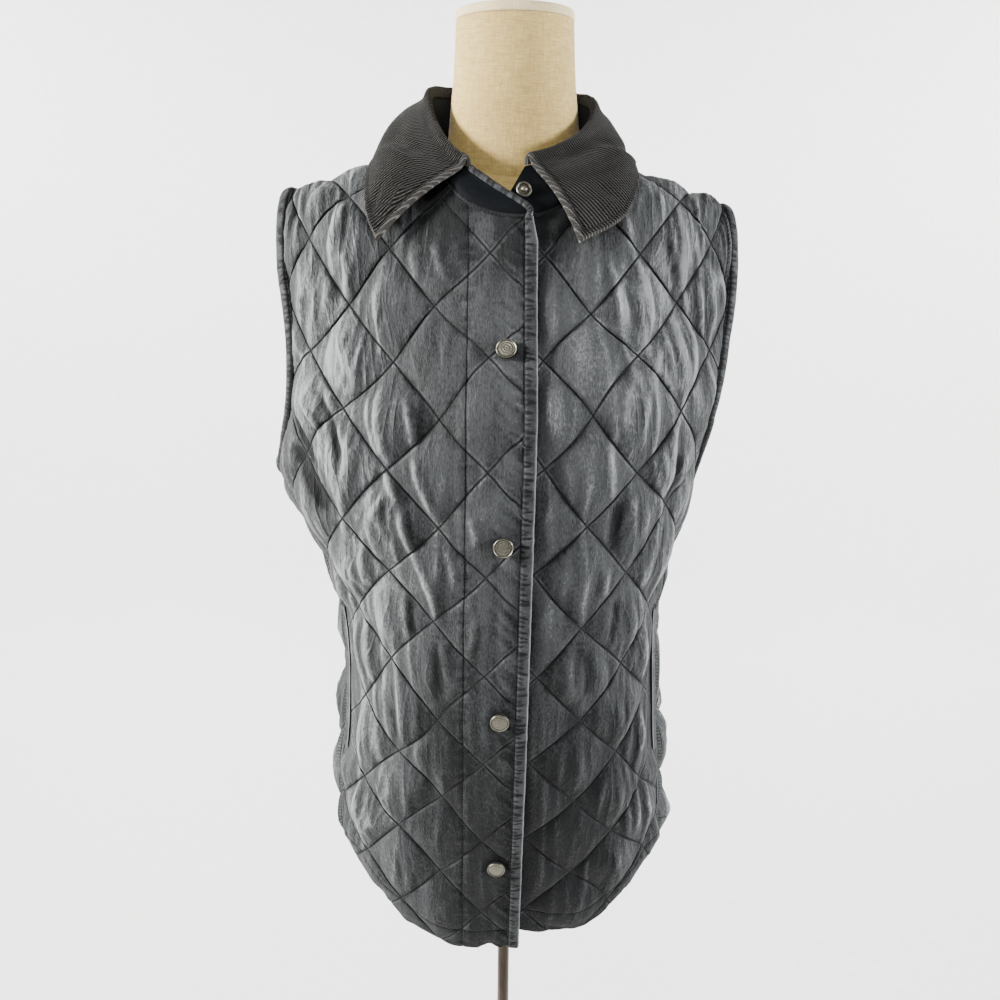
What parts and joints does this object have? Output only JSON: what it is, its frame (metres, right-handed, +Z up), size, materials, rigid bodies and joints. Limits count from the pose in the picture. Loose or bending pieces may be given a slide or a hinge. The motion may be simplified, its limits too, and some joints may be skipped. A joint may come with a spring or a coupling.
{
  "type": "quilted vest on dress form",
  "caption": "Sleeveless diamond-quilted vest with corduroy collar and snap front, worn on a limbless linen dress form on a pole stand with a round base.",
  "frame": {"origin": "centre of the round base plate's underside, on the floor", "axes": "+Z up along the pole, the vest faces -Y, the vest's wearer has their right side at -X"},
  "size_m": [0.4033, 0.34, 1.557],
  "materials": {
    "quilted_shell": "faded charcoal woven cotton with a soft sheen, diamond quilted",
    "edge_binding": "the same cotton cut as narrow edge binding, stitched flat",
    "corduroy": "dark brown-black fine-wale cotton corduroy",
    "stand_cloth": "plain navy-black cotton",
    "snap_metal": "worn nickel-plated snap caps",
    "form_linen": "cream linen covering, tightly stretched",
    "form_cap": "paler cream band closing the neck's top",
    "pole_metal": "dark bronze painted tube",
    "base_metal": "dark painted steel plate"
  },
  "bodies": {
    "root": {"front_left": "quilted_shell", "front_right": "quilted_shell", "back": "quilted_shell", "armhole_binding_left": "edge_binding", "armhole_binding_right": "edge_binding", "placket_binding": "edge_binding", "pocket_welt_left": "edge_binding", "pocket_welt_right": "edge_binding", "collar_stand": "stand_cloth", "collar": "corduroy", "snap_cap_1": "snap_metal", "snap_cap_2": "snap_metal", "snap_cap_3": "snap_metal", "snap_cap_4": "snap_metal", "collar_stud": "snap_metal", "form_torso": "form_linen", "form_neck_cap": "form_cap", "stand_pole": "pole_metal", "stand_base": "base_metal"}
  },
  "joints": []
}
